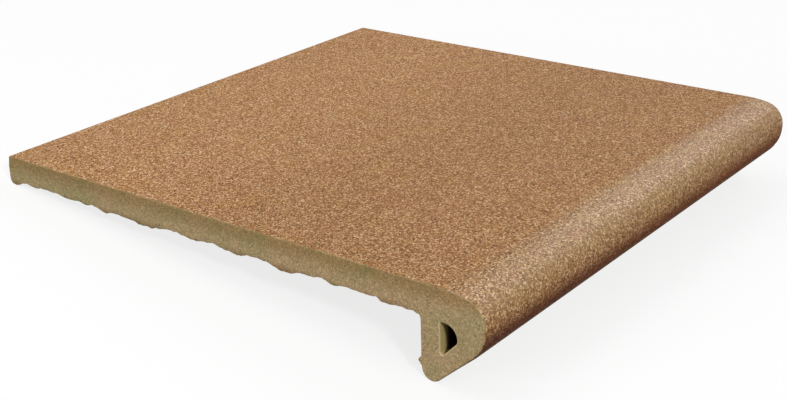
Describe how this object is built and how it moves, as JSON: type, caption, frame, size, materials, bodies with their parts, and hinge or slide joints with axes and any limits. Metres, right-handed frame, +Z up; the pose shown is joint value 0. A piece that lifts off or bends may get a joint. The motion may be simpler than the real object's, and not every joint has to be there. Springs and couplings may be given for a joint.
{
  "type": "stair nosing tile",
  "caption": "Extruded clinker step tile with a flat tread, a rounded hanging nose with a half-moon hollow, and a ribbed underside.",
  "frame": {"origin": "on the floor, below the middle of the tile's box, as the tile lies unheld on the toe of its nose and on its back edge", "axes": "+X along the nose, from the left cut end to the right one; -Y the way the nose faces, +Y towards the back edge; +Z up. At rest the tread slopes down by 6.3 degrees towards the back edge"},
  "size_m": [0.325, 0.33, 0.0508],
  "materials": {
    "fired_clinker": "fired clinker clay: flecked brown, fine-grained engobe on tread and nose, bare olive-tan body at the cut ends, back and underside"
  },
  "bodies": {
    "root": {"stair_nosing_tile": "fired_clinker"}
  },
  "joints": []
}
